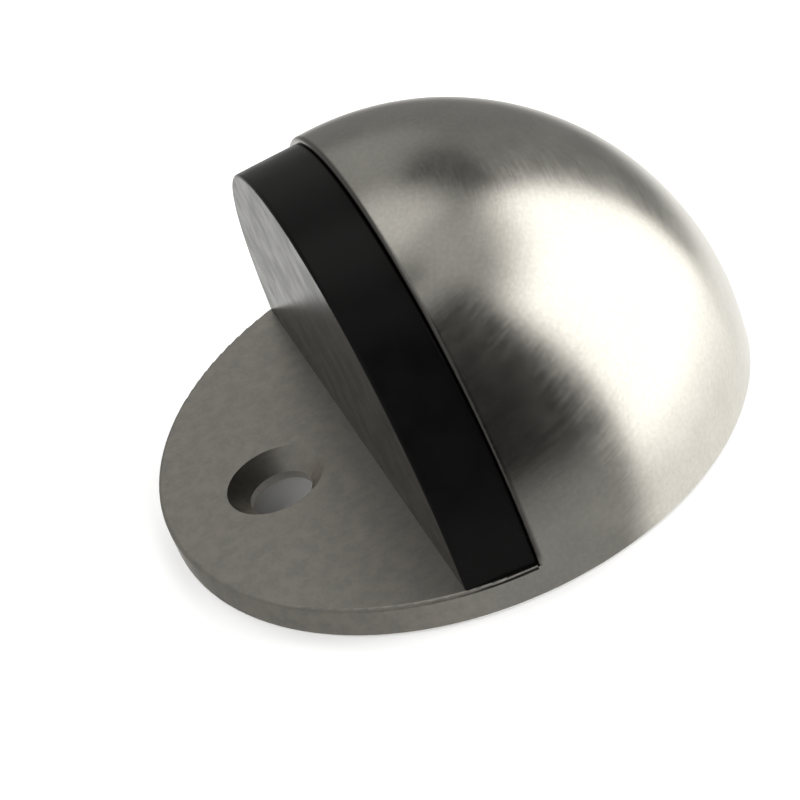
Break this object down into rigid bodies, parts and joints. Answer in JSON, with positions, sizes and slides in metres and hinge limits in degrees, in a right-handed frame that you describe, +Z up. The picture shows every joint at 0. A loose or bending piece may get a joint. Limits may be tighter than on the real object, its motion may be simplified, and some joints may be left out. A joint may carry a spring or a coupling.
{
  "type": "floor door stop",
  "caption": "Half-dome floor door stop in satin steel: a flat ledge with a countersunk fixing hole, and an upright D-shaped rubber buffer that the door meets.",
  "frame": {"origin": "centre of the foot circle, at floor level", "axes": "+Z up; -Y towards the door (ledge and buffer side), +Y to the back of the dome; X across, symmetrical about X = 0"},
  "size_m": [0.045, 0.045, 0.024],
  "materials": {
    "satin_steel": "satin stainless casting, finely brushed",
    "black_rubber": "smooth moulded rubber",
    "zinc_plated_steel": "bright zinc plate"
  },
  "bodies": {
    "root": {"cast_body": "satin_steel", "buffer_pad": "black_rubber", "threaded_inserts": "zinc_plated_steel", "buffer_screws": "zinc_plated_steel"}
  },
  "joints": []
}
